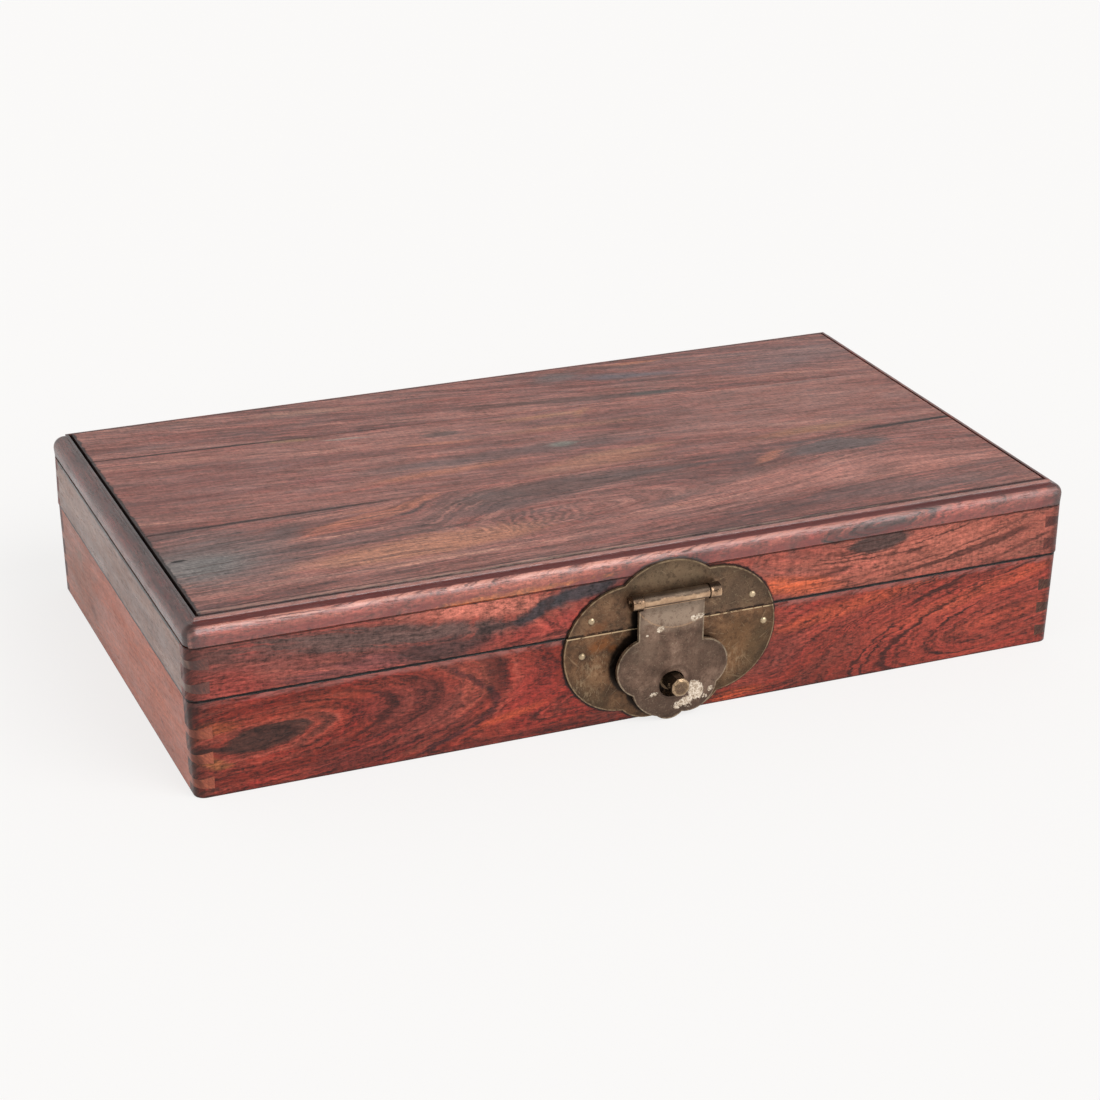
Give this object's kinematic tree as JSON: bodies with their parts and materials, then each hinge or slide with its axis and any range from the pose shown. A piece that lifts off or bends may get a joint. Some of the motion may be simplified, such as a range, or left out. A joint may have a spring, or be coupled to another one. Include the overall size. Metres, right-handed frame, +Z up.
{
  "type": "ink stick and stone box",
  "caption": "Flat hinged hardwood box for ink sticks and an ink stone, with dovetailed boards, a moulded lid rim, inner partitions and a lobed brass lock plate with a hanging hasp.",
  "frame": {"origin": "middle of the underside of the lower carcass, on the surface that the box rests on", "axes": "+X to the right along the front, +Y to the back, +Z up; the lock is on the -Y side"},
  "size_m": [0.4014, 0.2423, 0.0778],
  "materials": {
    "carcass_wood": "satin",
    "rim_wood": "satin",
    "top_wood": "matte",
    "inner_wood": "matte",
    "plate_brass": "aged",
    "hasp_brass": "aged",
    "barrel_brass": "rubbed",
    "nail_brass": "rubbed",
    "post_brass": "aged"
  },
  "bodies": {
    "base": {"base_back": "carcass_wood", "base_bottom_back": "inner_wood", "base_bottom_front": "inner_wood", "base_bottom_middle": "inner_wood", "base_front": "carcass_wood", "base_left": "carcass_wood", "base_right": "carcass_wood", "divider_cross": "inner_wood", "divider_long": "inner_wood", "hinge_leaf_base_left": "plate_brass", "hinge_leaf_base_right": "plate_brass", "hinge_nails_base": "nail_brass", "hinge_pin_left": "barrel_brass", "hinge_pin_right": "barrel_brass", "lock_plate_base": "plate_brass", "lock_plate_pins_base": "nail_brass", "lock_post": "post_brass", "lock_post_washer": "post_brass"},
    "lid": {"hasp_eye_left": "barrel_brass", "hasp_eye_right": "barrel_brass", "hasp_pin": "barrel_brass", "hinge_leaf_lid_left": "plate_brass", "hinge_leaf_lid_right": "plate_brass", "hinge_nails_lid": "nail_brass", "lid_back": "carcass_wood", "lid_batten_left": "inner_wood", "lid_batten_right": "inner_wood", "lid_front": "carcass_wood", "lid_left": "carcass_wood", "lid_panel_back": "top_wood", "lid_panel_front": "top_wood", "lid_panel_middle": "top_wood", "lid_right": "carcass_wood", "lid_rim_back": "rim_wood", "lid_rim_front": "rim_wood", "lid_rim_left": "rim_wood", "lid_rim_right": "rim_wood", "lock_plate_lid": "plate_brass", "lock_plate_pins_lid": "nail_brass"},
    "hasp": {"hasp": "hasp_brass"}
  },
  "joints": [
    {"name": "lid_hinge", "type": "hinge", "parent": "base", "child": "lid", "pos_m": [0, 0.11335, 0.0435], "axis": [-1, 0, 0], "range_deg": [0, 105]},
    {"name": "hasp_hinge", "type": "hinge", "parent": "lid", "child": "hasp", "pos_m": [0.0082, -0.11525, 0.0567], "axis": [-1, 0, 0], "range_deg": [0, 180]}
  ]
}
